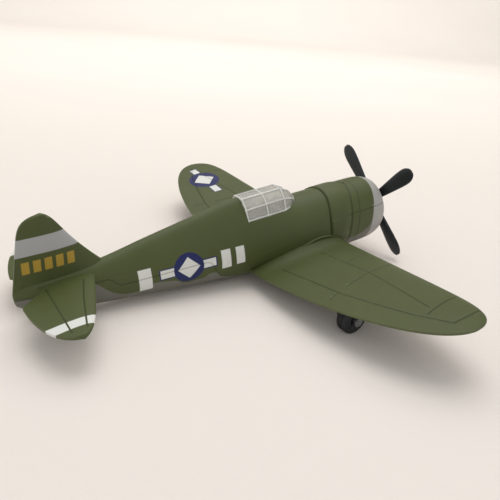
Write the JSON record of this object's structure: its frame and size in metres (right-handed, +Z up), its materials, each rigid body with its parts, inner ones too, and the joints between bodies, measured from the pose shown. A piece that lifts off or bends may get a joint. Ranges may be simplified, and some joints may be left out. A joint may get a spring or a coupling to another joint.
{
  "type": "propeller plane model",
  "caption": "Toy of a radial-engined, low-wing propeller aeroplane with a razor-back spine, clear canopy, spinning propeller and rolling wheels.",
  "frame": {"origin": "middle of the model's box, on the surface that its wheels rest on", "axes": "+X forward to the nose, +Y to the port wing tip, +Z up"},
  "size_m": [0.1108, 0.124, 0.0312],
  "materials": {
    "olive_enamel": "satin",
    "olive_wing": "satin",
    "belly_enamel": "satin",
    "clear_styrene": "gloss",
    "cockpit_grey": "matte",
    "engine_grey": "satin",
    "brass_bush": "satin",
    "steel_pin": "satin",
    "black_plastic": "satin",
    "black_metal": "satin",
    "propeller_black": "satin",
    "black_tyre": "matte"
  },
  "bodies": {
    "airframe": {"upper_fuselage": "olive_enamel", "rear_belly": "belly_enamel", "front_belly": "belly_enamel", "wing": "olive_wing", "tailplane": "olive_enamel", "canopy": "clear_styrene", "cockpit_tub": "cockpit_grey", "pilot_seat": "cockpit_grey", "engine_bulkhead": "engine_grey", "radial_engine": "engine_grey", "propeller_bush": "brass_bush", "tail_pin": "steel_pin", "belly_screws": "steel_pin", "stand_socket": "black_plastic", "port_axle": "steel_pin", "port_strut": "black_plastic", "starboard_axle": "steel_pin", "starboard_strut": "black_plastic"},
    "propeller": {"propeller": "propeller_black", "propeller_shaft": "steel_pin", "shaft_collar": "steel_pin"},
    "port_wheel": {"port_tyre": "black_tyre", "port_wheel_hub": "black_plastic"},
    "starboard_wheel": {"starboard_tyre": "black_tyre", "starboard_wheel_hub": "black_plastic"},
    "tail_wheel": {"tail_wheel": "black_metal"}
  },
  "joints": [
    {"name": "propeller_spin", "type": "hinge", "parent": "airframe", "child": "propeller", "pos_m": [0.0525, 0, 0.01634], "axis": [0.9925, 0, 0.1219], "continuous": true},
    {"name": "port_wheel_roll", "type": "hinge", "parent": "airframe", "child": "port_wheel", "pos_m": [0.01204, 0.0362, 0.0037], "axis": [0, 1, 0], "continuous": true},
    {"name": "starboard_wheel_roll", "type": "hinge", "parent": "airframe", "child": "starboard_wheel", "pos_m": [0.01204, -0.0362, 0.0037], "axis": [0, 1, 0], "continuous": true},
    {"name": "tail_wheel_roll", "type": "hinge", "parent": "airframe", "child": "tail_wheel", "pos_m": [-0.03964, 0, 0.002], "axis": [0, 1, 0], "continuous": true}
  ]
}
